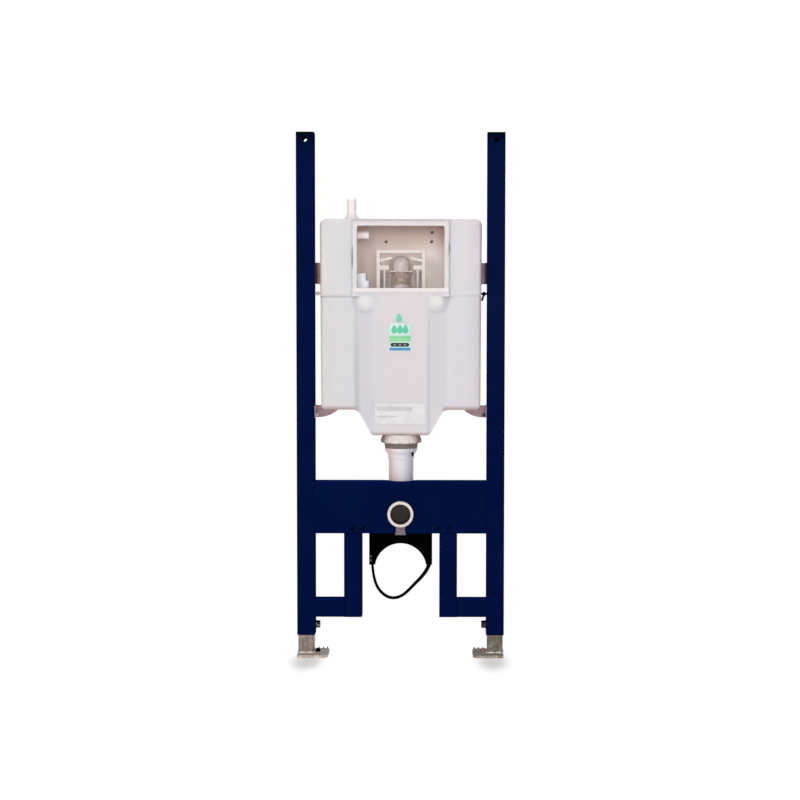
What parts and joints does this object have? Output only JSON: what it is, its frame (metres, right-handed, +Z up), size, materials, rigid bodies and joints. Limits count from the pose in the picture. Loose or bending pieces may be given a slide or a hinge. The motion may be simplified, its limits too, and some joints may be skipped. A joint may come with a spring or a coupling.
{
  "type": "wall hung toilet frame",
  "caption": "Tall steel tube frame on telescopic feet that holds a flat plastic cistern, flush pipe, outlet and drain bracket behind a wall hung toilet.",
  "frame": {"origin": "on the floor, in the middle of the overall box in X and Y", "axes": "+Z up, +X to the right seen from the front, the front faces -Y"},
  "size_m": [0.5, 0.156, 1.259],
  "materials": {
    "navy_coat": "semi-gloss dark navy powder coat on steel",
    "zinc_plate": "zinc-plated steel, slightly yellowed",
    "black_screw": "blackened steel",
    "black_plastic": "matt black moulded plastic",
    "holder_metal": "mauve-brown coated sheet steel",
    "tank_plastic": "off-white blow-moulded plastic",
    "white_plastic": "white moulded plastic",
    "valve_plastic": "pale grey moulded plastic",
    "seal_rubber": "grey rubber",
    "dark_pipe": "dark brown-grey pipe plastic",
    "saddle_plastic": "mauve-grey plastic"
  },
  "bodies": {
    "frame": {"access_collar": "white_plastic", "actuator_bridge": "white_plastic", "cistern_tank": "tank_plastic", "clamp_screw_left": "black_screw", "clamp_screw_right": "black_screw", "cross_panel": "navy_coat", "drain_bracket": "black_plastic", "fill_float": "white_plastic", "fill_valve": "white_plastic", "flush_elbow": "dark_pipe", "flush_pipe": "white_plastic", "flush_valve": "valve_plastic", "inlet_spigot": "white_plastic", "lift_arm_left": "white_plastic", "lift_arm_right": "white_plastic", "outlet_nut": "white_plastic", "outlet_ring": "white_plastic", "outlet_saddle": "saddle_plastic", "outlet_seal": "seal_rubber", "post_left": "navy_coat", "post_right": "navy_coat", "rail_left": "navy_coat", "rail_right": "navy_coat", "side_clip_left": "holder_metal", "side_clip_right": "holder_metal", "side_lug_left": "white_plastic", "side_lug_right": "black_plastic", "stop_valve": "white_plastic", "stud_bush_left_inner": "zinc_plate", "stud_bush_left_outer": "zinc_plate", "stud_bush_right_inner": "zinc_plate", "stud_bush_right_outer": "zinc_plate", "support_bracket_left": "holder_metal", "support_bracket_right": "holder_metal", "top_cap_left": "black_plastic", "top_cap_right": "black_plastic", "upright_left": "navy_coat", "upright_right": "navy_coat", "waste_strap": "black_plastic"},
    "left_foot": {"foot_leg_left": "zinc_plate", "foot_plate_left": "zinc_plate"},
    "right_foot": {"foot_leg_right": "zinc_plate", "foot_plate_right": "zinc_plate"}
  },
  "joints": [
    {"name": "left_foot_slide", "type": "slide", "parent": "frame", "child": "left_foot", "axis": [0, 0, -1], "range_m": [-0.038, 0.15]},
    {"name": "right_foot_slide", "type": "slide", "parent": "frame", "child": "right_foot", "axis": [0, 0, -1], "range_m": [-0.038, 0.15]}
  ]
}
